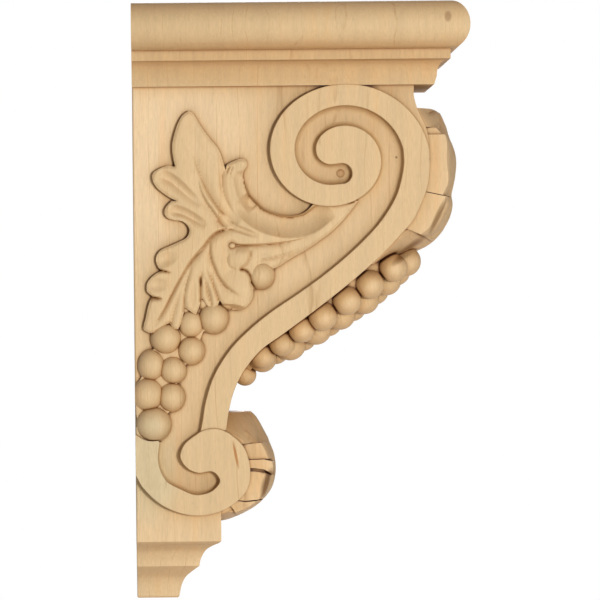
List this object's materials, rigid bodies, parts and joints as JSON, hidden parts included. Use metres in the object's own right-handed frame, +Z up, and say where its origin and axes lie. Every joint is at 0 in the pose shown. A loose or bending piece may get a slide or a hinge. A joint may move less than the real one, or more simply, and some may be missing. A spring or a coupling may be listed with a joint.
{
  "type": "wooden corbel bracket",
  "caption": "Carved hardwood corbel bracket with an S-shaped scroll, vine leaves and grapes under a moulded cap, flat at the back and on top, which holds up a shelf or worktop.",
  "frame": {"origin": "middle of the flat back face, at half the height, on the wall", "axes": "+Y points out of the back face into the wall, +Z up towards the cap, +X across the width"},
  "size_m": [0.171, 0.2015, 0.356],
  "materials": {
    "carved_maple": "bare sanded hardwood"
  },
  "bodies": {
    "root": {"corbel": "carved_maple"}
  },
  "joints": []
}
